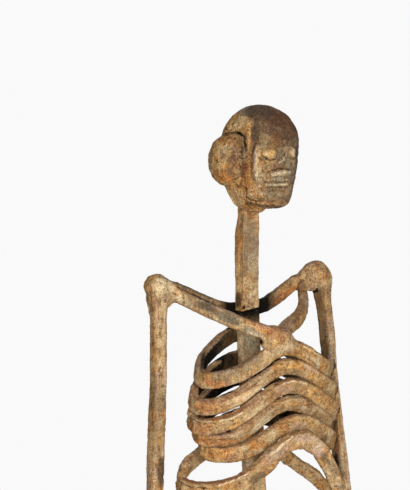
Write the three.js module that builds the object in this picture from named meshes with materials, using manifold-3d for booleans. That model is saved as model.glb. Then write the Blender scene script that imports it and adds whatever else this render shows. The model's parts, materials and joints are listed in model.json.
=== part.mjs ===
// A standing figure of forged and welded iron: a lump head on a bar neck, a bent shoulder yoke,
// hanging bar arms, six wavy rib hoops round a flat spine, a hip hoop, bar legs and a low plate base.
// Millimetres, +Z up. The figure faces -Y and its own left side is +X.
import * as THREE from 'three';
import { mergeVertices } from 'three/addons/utils/BufferGeometryUtils.js';
import Module from 'manifold-3d';

const wasm = await Module();
wasm.setup();

// Joint gap between pieces that are welded face to face, how far the spine stands behind the
// middle of the base, and the worn edge of plain bars
const GAP = 0.3;
const SET_BACK = 30;
const EDGE_BEVEL = 2;

// A bevel takes no more than this share of half a side; how closely points count as one; the
// tension of the curves that bars follow
const MOST_BEVEL = 0.6;
const SAME_POINT = 1e-4;
const TENSION = 0.5;

// Base plate
const BASE = { width: 280, depth: 230, height: 14, chamfer: 3 };

// Spine: a flat bar that leans forward on its way down as far as the waist
const SPINE = {
  width: 32, thickness: 10, centreX: 1.5, topZ: 942.2, endZ: 560, waistZ: 700, lean: 0.067,
};
const SPINE_LEVEL = { z: 940, y: 3 };

// Neck: a thicker bar whose rear face is flush with the spine. Its foot is cut on a slant, and its
// top narrows and shifts toward the figure's left inside the head.
const NECK = {
  width: 26.8, thickness: 16.5, centreX: -2, footZ: 945, footRise: 4, shoulderZ: 1040, narrowZ: 1058,
  narrowWidth: 23, narrowShift: 2, topZ: 1085,
};

// Ribs: hammered strip, each hoop given by its reach to either side, its front, the depth of its
// widest line, the lean of its section at front and back in degrees, and its heights at eight places,
// from the back round by the figure's left side. The lowest is of wider strip, which narrows on
// the figure's left.
const RIB_BAR = { thickness: 10.5, height: 19.5, bevel: 1.8 };
const LOWEST_RIB = { height: 22, leftNarrowing: 6, narrowFrom: 0.6 };
const RIBS = [
  { rightReach: 96, leftReach: 96, frontY: -77, sideY: -32, leanFront: 9, leanBack: 9,
    heights: [914, 886, 862, 874.5, 905, 876, 869, 890] },
  { rightReach: 105, leftReach: 104, frontY: -73, sideY: -32, leanFront: 19, leanBack: 16,
    heights: [883, 857, 828, 850, 881, 844, 838, 861] },
  { rightReach: 109, leftReach: 104.5, frontY: -80, sideY: -34, leanFront: 25, leanBack: 17,
    heights: [858, 830, 805, 826, 858.5, 821, 815, 837] },
  { rightReach: 100, leftReach: 94, frontY: -76, sideY: -34, leanFront: 32, leanBack: 24,
    heights: [834, 810, 786, 809, 836, 800, 800, 818] },
  { rightReach: 94, leftReach: 94.5, frontY: -93, sideY: -37, leanFront: 11, leanBack: 22,
    heights: [810, 789, 770, 787, 815, 784, 781, 796] },
  { rightReach: 127, leftReach: 125, frontY: -114, sideY: -34, leanFront: 20, leanBack: 22,
    heights: [783, 729, 684, 690, 798, 748, 741, 766] },
];
const RIB_STEPS = 34;

// Shoulder yoke: a back bar that dips behind the neck and two collarbones that cross in front
const YOKE_BAR = { thickness: 9, endThickness: 9, height: 18, endHeight: 18, bevel: 2 };
const RIGHT_COLLAR_BAR = { thickness: 11, endThickness: 12, height: 18.5, endHeight: 16.5, bevel: 1.8 };
const LEFT_COLLAR_BAR = { thickness: 9.5, endThickness: 16, height: 14, endHeight: 17, bevel: 2 };
const BACK_BAR_STEPS = 14;
const COLLAR_STEPS = 12;
const SHOULDER = { x: 131, y: 19 };
const BACK_BAR = [[-131, 20, 980], [-98, 19, 973], [-63, 16.7, 958], [-32, 13.8, 946], [0, 13.1, 943],
  [32, 13.1, 944], [64, 15, 957], [98, 19, 973], [131, 19, 978]];
const RIGHT_COLLAR = [[-130, 19, 979], [-109, 14, 971.5], [-90.5, 0, 961.5], [-83, -24, 953],
  [-72, -45, 944.5], [-62, -62, 937.5], [-46, -77, 930.5], [-31, -82, 924.5], [-15, -85, 918.5]];
const LEFT_COLLAR = [[118, 19, 977], [102, 15, 969], [93, 6, 960.5], [81, -12, 948.5], [62, -30, 938.5],
  [40, -46, 932], [17, -60, 928], [-4, -74, 924.5], [-16, -82, 920]];
// The weld that the two collarbones and the top rib meet in
const STERNUM_WELD = { x: -16.5, y: -82.5, z: 918.5, radii: [20, 8.5, 13.5] };
const RIGHT_KNOB = { x: -130, y: 17, z: 980, radii: [15, 15, 14.5] };
const LEFT_KNOB = { x: 123, y: 14, z: 977.5, radii: [22, 16, 19.5] };
const KNOB_CUT_Z = 969;
const SEAT = { width: 34, depth: 40, height: 30 };

// Arms: nearly square bars that spread outward and forward, beaten flat into hands
const RIGHT_ARM_BAR = { thickness: 15.4, height: 16, spread: 1.5 };
const LEFT_ARM_BAR = { thickness: 12.5, height: 19, spread: 0 };
const SPREAD_DROP = 200;
const ARM_PATH = [[130.5, 13, 0], [134.5, 5, 64], [138.5, 1, 129], [146, -6, 209], [155, -14, 309],
  [161, -20, 399], [163, -23, 439], [165, -26, 489]];
const ARM_FLARE = { scale: 1.4, steps: 1 };
const ARM_STEPS = 18;
const HAND = {
  thickness: 7, width: 27, steps: 4, flattening: 2, tipWidth: 20, slots: 3, slotWidth: 2, slotDepth: 27,
};

// Hip hoop and legs
const HIP_STEPS = 28;
const HIP = { halfWidth: 74, backY: -3.4, sideY: -38, frontY: -78, backZ: 584, sideZ: 568, frontZ: 588 };
const LEG_BAR = { width: 17, depth: 17, bevel: 2.5 };
const LEG_PATH = [[72, -39, 559], [75, -47, 440], [77, -55, 305], [76, -45, 170], [75, -36, 62]];
const LEG_STEPS = 12;
const KNEE = { step: 6, swell: 1.25 };
const FOOT = {
  width: 36, thickness: 12, length: 80, outTurn: 3, steps: 4, slots: 4, slotWidth: 2.2, slotDepth: 20,
};
// Length of a finger or toe slot's cutter across the metal
const SLOT_THROUGH = 60;
// From the ankle to the flat of the foot: distance forward and height over the sole's middle
const HEEL_BEND = [[0, 20], [4, 8], [12, 1.5], [22, 0], [50, 0]];

// Round lumps: the sides and the rows of their facets
const BALL_COLUMNS = 12;
const BALL_ROWS = 6;
const LUMP_COLUMNS = 14;
const LUMP_ROWS = 10;

// Head: heights with the half width, the front and the back of each level
const HEAD_LEVELS = [
  [1073, 17, -46, 7], [1075, 22, -53, 9], [1079, 25.5, -60, 11], [1086, 29, -62, 14],
  [1099, 33, -63, 20], [1112, 35.5, -63, 22], [1128, 38, -64, 24], [1145, 39, -65, 25],
  [1158, 39, -66, 24], [1168, 37, -65, 21], [1177, 33.5, -62, 16], [1186, 28, -56, 9],
  [1193, 20, -46, 1], [1197.5, 12, -36, -8], [1199.5, 4, -27, -16],
];
const HEAD_SIDES = 24;
const HEAD_SQUARENESS = 3.4;
const EAR = { x: 35, y: -5, z: 1131.5, radii: [18.5, 30.5, 31.5] };
const EAR_SQUARENESS = 2.3;
const FAR_EAR = { x: 33, y: 2, z: 1131, radii: [14, 25, 27] };
const EYES = [
  { x: -17, y: -62, z: 1143, radii: [11.5, 4.5, 8] },
  { x: 20, y: -62, z: 1142, radii: [7.5, 3.5, 7] },
];
// Nose and mouth: strips laid across the face, by their middle lines and heights
const NOSE = {
  path: [[-16, -60, 1114.5], [-4, -62, 1117.5], [8, -60, 1118.5]], heights: [4, 8, 9], thickness: 13,
};
const MOUTH = {
  path: [[-20, -60, 1102.5], [-5, -61.5, 1103], [10, -60, 1103]], heights: [3, 4.5, 3.5], thickness: 9,
};

// The deep lap over the right ear and the seam at the back of the jaw
const CREVICE = {
  path: [[-40, 6, 1163], [-41, -12, 1165.5], [-42, -28, 1166.5], [-41, -38.5, 1164], [-39, -41, 1158],
    [-39, -42, 1147]],
  width: 3.4, depth: 12,
};
const JAW_SEAM = {
  path: [[-34, -36, 1099], [-32, -35, 1087], [-30, -43, 1084], [-28, -52, 1083]], width: 2.2, depth: 7,
};
const GROOVE_STEPS = 10;
const SIDEWAYS = new THREE.Vector3(1, 0, 0);
const UPRIGHT = new THREE.Vector3(0, 0, 1);
const FORWARD = new THREE.Vector3(0, -1, 0);

const IRON = { color: 0x8f7350, roughness: 0.85, metalness: 0.25 };
const DARK_IRON = { color: 0x6e5a44, roughness: 0.85, metalness: 0.3 };

// A closed bar section with bevelled corners, as points across (x) and up (y)
function barSection(thickness, height, bevel) {
  const a = thickness / 2;
  const b = height / 2;
  const c = Math.min(bevel, a * MOST_BEVEL, b * MOST_BEVEL);
  return [
    [a, -b + c], [a, b - c], [a - c, b], [-a + c, b],
    [-a, b - c], [-a, -b + c], [-a + c, -b], [a - c, -b],
  ];
}

// Skins a list of rings that all have the same number of points. A hoop joins its last ring to
// its first, and any other bar is capped at both ends.
function skin(rings, hoop = false) {
  const count = rings[0].length;
  const positions = rings.flat().flatMap((p) => [p.x, p.y, p.z]);
  const indices = [];
  const spans = hoop ? rings.length : rings.length - 1;
  for (let i = 0; i < spans; i++) {
    const near = i * count;
    const far = ((i + 1) % rings.length) * count;
    for (let j = 0; j < count; j++) {
      const k = (j + 1) % count;
      indices.push(near + j, far + j, far + k, near + j, far + k, near + k);
    }
  }
  if (!hoop) {
    const last = (rings.length - 1) * count;
    for (let j = 1; j < count - 1; j++) {
      indices.push(0, j, j + 1, last, last + j + 1, last + j);
    }
  }
  const geometry = new THREE.BufferGeometry();
  geometry.setAttribute('position', new THREE.Float32BufferAttribute(positions, 3));
  geometry.setIndex(indices);
  return facingOut(geometry);
}

// Turns every triangle over when the closed surface is inside out
function facingOut(geometry) {
  const p = geometry.attributes.position;
  const index = geometry.index;
  const a = new THREE.Vector3();
  const b = new THREE.Vector3();
  const c = new THREE.Vector3();
  let volume = 0;
  for (let i = 0; i < index.count; i += 3) {
    a.fromBufferAttribute(p, index.getX(i));
    b.fromBufferAttribute(p, index.getX(i + 1));
    c.fromBufferAttribute(p, index.getX(i + 2));
    volume += a.dot(b.cross(c));
  }
  if (volume < 0) {
    for (let i = 0; i < index.count; i += 3) {
      const keep = index.getX(i + 1);
      index.setX(i + 1, index.getX(i + 2));
      index.setX(i + 2, keep);
    }
  }
  return geometry;
}

// Sweeps a bar through centres. sideAt(i, tangent) gives the direction of its thickness and
// sectionAt(i) its section.
function sweepBar(centres, sideAt, sectionAt, hoop = false) {
  const count = centres.length;
  const rings = centres.map((centre, i) => {
    const before = hoop ? centres[(i + count - 1) % count] : centres[Math.max(i - 1, 0)];
    const after = hoop ? centres[(i + 1) % count] : centres[Math.min(i + 1, count - 1)];
    const tangent = after.clone().sub(before).normalize();
    const side = sideAt(i, tangent).clone();
    side.addScaledVector(tangent, -side.dot(tangent)).normalize();
    const up = new THREE.Vector3().crossVectors(tangent, side);
    return sectionAt(i).map(([s, u]) => centre.clone().addScaledVector(side, s).addScaledVector(up, u));
  });
  return skin(rings, hoop);
}

function curveThrough(points, hoop = false) {
  const places = points.map((p) => new THREE.Vector3(...p));
  return new THREE.CatmullRomCurve3(places, hoop, 'catmullrom', TENSION);
}

// A closed mesh as a solid that can be joined and cut, and back
function solid(geometry) {
  const plain = geometry.clone();
  plain.deleteAttribute('normal');
  plain.deleteAttribute('uv');
  const merged = mergeVertices(plain, SAME_POINT);
  return new wasm.Manifold(new wasm.Mesh({
    numProp: 3,
    vertProperties: new Float32Array(merged.attributes.position.array),
    triVerts: new Uint32Array(merged.index.array),
  }));
}

function geometryOf(manifold) {
  const mesh = manifold.getMesh();
  const geometry = new THREE.BufferGeometry();
  geometry.setAttribute('position', new THREE.BufferAttribute(new Float32Array(mesh.vertProperties), 3));
  geometry.setIndex(new THREE.BufferAttribute(new Uint32Array(mesh.triVerts), 1));
  return geometry;
}

function joined(geometries) {
  return geometries.map(solid).reduce((whole, piece) => whole.add(piece));
}

function ball(place) {
  const geometry = new THREE.SphereGeometry(1, BALL_COLUMNS, BALL_ROWS);
  geometry.scale(...place.radii);
  geometry.translate(place.x, place.y, place.z);
  return geometry;
}

// A ball whose sides are squarer, as hammered lumps are
function lump(place, squareness) {
  const geometry = new THREE.SphereGeometry(1, LUMP_COLUMNS, LUMP_ROWS);
  const p = geometry.attributes.position;
  for (let i = 0; i < p.count; i++) {
    const powers = [p.getX(i), p.getY(i), p.getZ(i)].map((v) => Math.abs(v) ** squareness);
    const reach = (powers[0] + powers[1] + powers[2]) ** (-1 / squareness);
    p.setXYZ(i, p.getX(i) * reach, p.getY(i) * reach, p.getZ(i) * reach);
  }
  geometry.scale(...place.radii);
  geometry.translate(place.x, place.y, place.z);
  return geometry;
}

function box(width, depth, height, x, y, z) {
  const geometry = new THREE.BoxGeometry(width, depth, height);
  geometry.translate(x, y, z);
  return geometry;
}

function spineY(z) {
  const drop = SPINE_LEVEL.z - Math.max(z, SPINE.waistZ);
  return SPINE_LEVEL.y - SPINE.lean * drop;
}

// One rib hoop. grow widens its section, for the room that a neighbour leaves it.
function ribHoop(rib, grow = 0) {
  const heightCurve = curveThrough(rib.heights.map((z) => [0, 0, z]), true);
  const backY = spineY(rib.heights[0]) + SPINE.thickness / 2 + GAP + RIB_BAR.thickness / 2;
  const centres = [];
  const leans = [];
  for (let i = 0; i < RIB_STEPS; i++) {
    const turn = i / RIB_STEPS;
    const angle = 2 * Math.PI * turn;
    const towardBack = Math.cos(angle);
    const reach = towardBack > 0 ? backY - rib.sideY : rib.sideY - rib.frontY;
    const z = heightCurve.getPoint(turn).z;
    const sideReach = Math.sin(angle) > 0 ? rib.leftReach : rib.rightReach;
    centres.push(new THREE.Vector3(sideReach * Math.sin(angle), rib.sideY + reach * towardBack, z));
    const lean = rib.leanBack + (rib.leanFront - rib.leanBack) * (0.5 - 0.5 * towardBack);
    leans.push(THREE.MathUtils.degToRad(lean));
  }
  const lowest = rib === RIBS.at(-1);
  const sectionAt = (i) => {
    const toLeft = Math.sin((2 * Math.PI * i) / RIB_STEPS) / LOWEST_RIB.narrowFrom;
    const narrowing = LOWEST_RIB.leftNarrowing * THREE.MathUtils.clamp(toLeft, 0, 1);
    const height = lowest ? LOWEST_RIB.height - narrowing : RIB_BAR.height;
    return barSection(RIB_BAR.thickness + grow, height + grow, RIB_BAR.bevel);
  };
  const sideAt = (i, tangent) => {
    const upright = new THREE.Vector3(0, -Math.sin(leans[i]), Math.cos(leans[i]));
    return upright.cross(tangent);
  };
  return sweepBar(centres, sideAt, sectionAt, true);
}

// The ribs are fitted from the top down: each one clears the one above it by the joint gap
function ribs() {
  const spineRoom = spine(2 * GAP);
  return RIBS.map((rib, i) => {
    let hoop = solid(ribHoop(rib)).subtract(spineRoom);
    if (i > 0) {
      hoop = hoop.subtract(solid(ribHoop(RIBS[i - 1], 2 * GAP)));
    }
    return hoop;
  });
}

function spine(grow = 0) {
  const centres = [SPINE.topZ, SPINE.waistZ, SPINE.endZ].map((z) =>
    new THREE.Vector3(SPINE.centreX, spineY(z), z));
  const section = barSection(SPINE.width + grow, SPINE.thickness + grow, EDGE_BEVEL);
  return solid(sweepBar(centres, () => SIDEWAYS, () => section));
}

function superEllipseRing([z, halfWidth, front, back]) {
  const ring = [];
  const power = 2 / HEAD_SQUARENESS;
  const middle = (front + back) / 2;
  const half = (back - front) / 2;
  for (let i = 0; i < HEAD_SIDES; i++) {
    const angle = (2 * Math.PI * i) / HEAD_SIDES;
    const c = Math.cos(angle);
    const s = Math.sin(angle);
    const x = halfWidth * Math.sign(c) * Math.abs(c) ** power;
    const y = middle + half * Math.sign(s) * Math.abs(s) ** power;
    ring.push(new THREE.Vector3(x, y, z));
  }
  return ring;
}

function neckBar() {
  const middleY = SPINE_LEVEL.y + SPINE.thickness / 2 - NECK.thickness / 2;
  const ring = (z, width, shift, rise) => barSection(width, NECK.thickness, EDGE_BEVEL).map(([s, u]) =>
    new THREE.Vector3(NECK.centreX + shift + s, middleY + u, z + (rise * s) / width));
  return skin([
    ring(NECK.footZ, NECK.width, 0, NECK.footRise),
    ring(NECK.shoulderZ, NECK.width, 0, 0),
    ring(NECK.narrowZ, NECK.narrowWidth, NECK.narrowShift, 0),
    ring(NECK.topZ, NECK.narrowWidth, NECK.narrowShift, 0),
  ]);
}

// A groove cutter: a thin strip on edge that follows points on the side of the head
function groove({ path, width, depth }) {
  const centres = curveThrough(path).getPoints(GROOVE_STEPS);
  const section = barSection(depth, width, width / 4);
  return solid(sweepBar(centres, () => SIDEWAYS, () => section));
}

// A strip laid across the face, whose height changes along it
function faceStrip({ path, heights, thickness }) {
  const centres = path.map((p) => new THREE.Vector3(...p));
  return sweepBar(centres, () => FORWARD, (i) => barSection(thickness, heights[i], EDGE_BEVEL));
}

function head() {
  const skull = skin(HEAD_LEVELS.map(superEllipseRing));
  const nearEar = lump({ ...EAR, x: -EAR.x }, EAR_SQUARENESS);
  const farEar = lump(FAR_EAR, EAR_SQUARENESS);
  const eyes = EYES.map(ball);
  const whole = joined([skull, nearEar, farEar, faceStrip(NOSE), faceStrip(MOUTH), neckBar(), ...eyes]);
  return whole.subtract(groove(CREVICE)).subtract(groove(JAW_SEAM));
}

// A bar through points, whose section changes toward its end
function openBar(points, bar, steps) {
  const centres = curveThrough(points).getSpacedPoints(steps);
  const sideAt = (i, tangent) => new THREE.Vector3().crossVectors(UPRIGHT, tangent);
  const sectionAt = (i) => {
    const thickness = THREE.MathUtils.lerp(bar.thickness, bar.endThickness, i / steps);
    const height = THREE.MathUtils.lerp(bar.height, bar.endHeight, i / steps);
    return barSection(thickness, height, bar.bevel);
  };
  return sweepBar(centres, sideAt, sectionAt);
}

function shoulderYoke() {
  let yoke = joined([
    openBar(BACK_BAR, YOKE_BAR, BACK_BAR_STEPS),
    openBar(RIGHT_COLLAR, RIGHT_COLLAR_BAR, COLLAR_STEPS),
    openBar(LEFT_COLLAR, LEFT_COLLAR_BAR, COLLAR_STEPS),
    ball(RIGHT_KNOB),
    ball(LEFT_KNOB),
    ball(STERNUM_WELD),
  ]);
  [-1, 1].forEach((side) => {
    const seatZ = KNOB_CUT_Z - SEAT.height / 2;
    const underside = box(SEAT.width, SEAT.depth, SEAT.height, side * SHOULDER.x, SHOULDER.y, seatZ);
    yoke = yoke.subtract(solid(underside));
  });
  return yoke.subtract(solid(ribHoop(RIBS[0], 2 * GAP)));
}

// Slots cut back from an end, which part it into fingers or toes
function slotCutters({ slots, slotWidth, slotDepth }, end, spread, pitch, reach) {
  return Array.from({ length: slots }, (unused, i) => {
    const middle = end.clone().addScaledVector(spread, (i - (slots - 1) / 2) * pitch);
    const size = spread.clone().multiplyScalar(slotWidth).addScaledVector(reach, slotDepth);
    const through = SLOT_THROUGH * (size.x === 0 ? 1 : 0);
    const upward = SLOT_THROUGH * (size.z === 0 ? 1 : 0);
    return solid(box(Math.abs(size.x) + through, Math.abs(size.y), Math.abs(size.z) + upward,
      middle.x, middle.y, middle.z));
  });
}

// An arm with its hand. side is -1 on the figure's right and 1 on its left.
function arm(side, bar) {
  const topZ = KNOB_CUT_Z - GAP;
  const path = ARM_PATH.map(([x, y, drop]) =>
    [side * (x + bar.spread * Math.min(1, drop / SPREAD_DROP)), y, topZ - drop]);
  const centres = curveThrough(path).getSpacedPoints(ARM_STEPS);
  const sectionAt = (i) => {
    const flat = THREE.MathUtils.clamp((i - ARM_STEPS + HAND.steps) / HAND.flattening, 0, 1);
    const flare = THREE.MathUtils.lerp(ARM_FLARE.scale, 1, Math.min(1, i / ARM_FLARE.steps));
    const handWidth = i === ARM_STEPS ? HAND.tipWidth : HAND.width;
    const thickness = THREE.MathUtils.lerp(bar.thickness * flare, HAND.thickness, flat);
    const height = THREE.MathUtils.lerp(bar.height * flare, handWidth, flat);
    return barSection(thickness, height, EDGE_BEVEL);
  };
  const bars = solid(sweepBar(centres, () => SIDEWAYS, sectionAt));
  const fingerEnd = centres[ARM_STEPS];
  const fingers = slotCutters(HAND, fingerEnd.clone().setZ(fingerEnd.z + HAND.slotDepth / 2), FORWARD,
    HAND.width / (HAND.slots + 1), UPRIGHT);
  const aboveZ = topZ + SEAT.height / 2;
  const aboveSeat = solid(box(3 * SHOULDER.x, 3 * SEAT.depth, SEAT.height, 0, 0, aboveZ));
  return fingers.reduce((hand, cutter) => hand.subtract(cutter), bars).subtract(aboveSeat);
}

function hipHoop(grow = 0) {
  const centres = [];
  for (let i = 0; i < HIP_STEPS; i++) {
    const angle = (2 * Math.PI * i) / HIP_STEPS;
    const towardBack = Math.cos(angle);
    const reach = towardBack > 0 ? HIP.backY - HIP.sideY : HIP.sideY - HIP.frontY;
    const endZ = towardBack > 0 ? HIP.backZ : HIP.frontZ;
    const z = HIP.sideZ + (endZ - HIP.sideZ) * towardBack ** 2;
    centres.push(new THREE.Vector3(HIP.halfWidth * Math.sin(angle), HIP.sideY + reach * towardBack, z));
  }
  const section = barSection(YOKE_BAR.thickness + grow, YOKE_BAR.height + grow, YOKE_BAR.bevel);
  const sideAt = (i, tangent) => new THREE.Vector3().crossVectors(UPRIGHT, tangent);
  return solid(sweepBar(centres, sideAt, () => section, true));
}

// A leg with its foot. side is -1 on the figure's right and 1 on its left.
function leg(side) {
  const path = LEG_PATH.map(([x, y, z]) => [side * x, y, z]);
  const legPoints = curveThrough(path).getSpacedPoints(LEG_STEPS);
  const ankle = legPoints[LEG_STEPS];
  const soleZ = BASE.height + GAP + FOOT.thickness / 2;
  const toes = new THREE.Vector3(ankle.x + side * FOOT.outTurn, ankle.y - FOOT.length, soleZ);
  const bend = HEEL_BEND.map(([forward, rise]) =>
    new THREE.Vector3(ankle.x, ankle.y - forward, soleZ + rise));
  const sectionAt = (i) => {
    const flat = THREE.MathUtils.clamp((i - LEG_STEPS - 1) / FOOT.steps, 0, 1);
    const swell = i === KNEE.step ? KNEE.swell : 1;
    const width = THREE.MathUtils.lerp(LEG_BAR.width * swell, FOOT.width, flat);
    const depth = THREE.MathUtils.lerp(LEG_BAR.depth * swell, FOOT.thickness, Math.min(1, 2 * flat));
    return barSection(width, depth, LEG_BAR.bevel);
  };
  const bars = solid(sweepBar([...legPoints, ...bend, toes], () => SIDEWAYS, sectionAt));
  const slotMiddle = toes.clone().setY(toes.y + FOOT.slotDepth / 2);
  const cutters = slotCutters(FOOT, slotMiddle, SIDEWAYS, FOOT.width / (FOOT.slots + 1), FORWARD);
  return cutters.reduce((foot, cutter) => foot.subtract(cutter), bars).subtract(hipHoop(2 * GAP));
}

function basePlate() {
  const outline = new THREE.Shape();
  const w = BASE.width / 2 - BASE.chamfer;
  const d = BASE.depth / 2 - BASE.chamfer;
  outline.moveTo(-w, -d).lineTo(w, -d).lineTo(w, d).lineTo(-w, d).closePath();
  const plate = new THREE.ExtrudeGeometry(outline, {
    depth: BASE.height - BASE.chamfer, bevelThickness: BASE.chamfer, bevelSize: BASE.chamfer,
    bevelSegments: 1,
  });
  const belowFloor = solid(box(BASE.width * 2, BASE.depth * 2, BASE.height, 0, 0, -BASE.height / 2));
  return solid(plate).subtract(belowFloor);
}

const figure = new THREE.Group();
figure.position.y = SET_BACK;

function addPiece(parent, name, manifold, look) {
  const mesh = new THREE.Mesh(geometryOf(manifold), new THREE.MeshStandardMaterial(look));
  mesh.name = name;
  parent.add(mesh);
}

addPiece(figure, 'head_and_neck', head(), DARK_IRON);
addPiece(figure, 'shoulder_yoke', shoulderYoke(), IRON);
addPiece(figure, 'right_arm', arm(-1, RIGHT_ARM_BAR), IRON);
addPiece(figure, 'left_arm', arm(1, LEFT_ARM_BAR), IRON);
addPiece(figure, 'spine', spine(), DARK_IRON);
ribs().forEach((rib, i) => addPiece(figure, `rib_${i + 1}`, rib, IRON));
addPiece(figure, 'hip_hoop', hipHoop().subtract(spine(2 * GAP)), IRON);
addPiece(figure, 'right_leg', leg(-1), IRON);
addPiece(figure, 'left_leg', leg(1), IRON);

const object = new THREE.Group();
addPiece(object, 'base_plate', basePlate(), DARK_IRON);
object.add(figure);

export default object;
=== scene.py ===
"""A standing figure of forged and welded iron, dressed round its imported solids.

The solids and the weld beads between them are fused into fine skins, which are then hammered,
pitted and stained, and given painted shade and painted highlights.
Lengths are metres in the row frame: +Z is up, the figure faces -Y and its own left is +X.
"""

import itertools
import json
import math

import bmesh
import bpy
import numpy as np
from mathutils import Matrix, Vector
from mathutils.bvhtree import BVHTree

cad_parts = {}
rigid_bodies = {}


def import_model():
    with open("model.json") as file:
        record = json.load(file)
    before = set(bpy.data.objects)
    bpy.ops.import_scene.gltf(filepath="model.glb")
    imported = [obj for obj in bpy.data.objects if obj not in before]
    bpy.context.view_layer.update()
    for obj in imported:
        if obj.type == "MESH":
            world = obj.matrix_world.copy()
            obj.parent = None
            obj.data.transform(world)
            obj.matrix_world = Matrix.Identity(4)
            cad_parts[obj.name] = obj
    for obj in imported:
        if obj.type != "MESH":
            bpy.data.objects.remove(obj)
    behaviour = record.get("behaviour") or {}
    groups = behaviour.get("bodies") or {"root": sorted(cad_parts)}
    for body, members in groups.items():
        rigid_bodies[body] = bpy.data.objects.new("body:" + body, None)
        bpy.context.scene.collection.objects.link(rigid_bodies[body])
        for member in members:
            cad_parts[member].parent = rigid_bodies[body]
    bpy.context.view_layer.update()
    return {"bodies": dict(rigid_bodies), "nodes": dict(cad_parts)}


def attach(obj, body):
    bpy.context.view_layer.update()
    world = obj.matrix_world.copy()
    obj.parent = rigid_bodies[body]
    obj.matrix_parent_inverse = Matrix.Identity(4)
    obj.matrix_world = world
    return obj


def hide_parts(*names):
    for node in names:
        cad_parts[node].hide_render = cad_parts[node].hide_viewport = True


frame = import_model()
MM = 0.001

# The photograph's view: the camera's turn, height, distance and lens, and the point that it looks at.
# The figure's own axis stands set back from the frame's.
AZIMUTH = math.radians(-37)
ELEVATION = math.radians(5)
DISTANCE = 2.25
PHOTO_SIZE = (410, 490)
FOCAL_PIXELS = 1800
SENSOR = 36
SET_BACK = 0.03
RIGHTWARD = Vector((math.cos(AZIMUTH), math.sin(AZIMUTH), 0))


def backward(azimuth, elevation):
    """The way back from the figure towards what looks at it, for a turn and a height in radians."""
    level = math.cos(elevation)
    return Vector((math.sin(azimuth) * level, -math.cos(azimuth) * level, math.sin(elevation)))


BACKWARD = backward(AZIMUTH, ELEVATION)
UPWARD = BACKWARD.cross(RIGHTWARD)
AIM_HEIGHT = 1.025
AIM_ASIDE = 0.054
AIM = Vector((0, SET_BACK, AIM_HEIGHT)) - AIM_ASIDE * RIGHTWARD
EYE = AIM + DISTANCE * BACKWARD

# The upright line that the rib hoops go round, and its distance from the lens
CHEST_AXIS = Vector((0.0, SET_BACK - 0.034, 0.86))
CHEST_DEPTH = (EYE - CHEST_AXIS).dot(BACKWARD)


def make_camera():
    data = bpy.data.cameras.new("camera")
    data.sensor_width = SENSOR
    data.lens = FOCAL_PIXELS * SENSOR / max(PHOTO_SIZE)
    camera = bpy.data.objects.new("camera", data)
    camera.location = EYE
    camera.rotation_euler = Matrix((RIGHTWARD, UPWARD, BACKWARD)).transposed().to_euler()
    bpy.context.scene.collection.objects.link(camera)
    bpy.context.scene.camera = camera


class Grain:
    """Smooth noise in space, from about -1 to 1. A seed gives the same noise on every run."""

    GAIN = 1.7

    def __init__(self, seed):
        chance = np.random.default_rng(seed)
        self.order = chance.permutation(256)
        slopes = chance.normal(size=(256, 3))
        self.slopes = slopes / np.linalg.norm(slopes, axis=1)[:, None]

    def __call__(self, points, size):
        """size is the width of the noise's lumps."""
        scaled = points / size
        cell = np.floor(scaled).astype(int)
        local = scaled - cell
        fade = local**3 * (local * (local * 6 - 15) + 10)
        total = np.zeros(len(points))
        for corner in itertools.product((0, 1), repeat=3):
            x, y, z = ((cell + corner) & 255).T
            pick = self.order[(self.order[(self.order[x] + y) & 255] + z) & 255]
            slope = ((local - corner) * self.slopes[pick]).sum(1)
            total += slope * np.where(corner, fade, 1 - fade).prod(1)
        return self.GAIN * total


def step_between(low, high, values):
    """0 below low and 1 above high, with a smooth rise between. low may be the greater one."""
    share = np.clip((values - low) / (high - low), 0, 1)
    return share * share * (3 - 2 * share)


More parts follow.
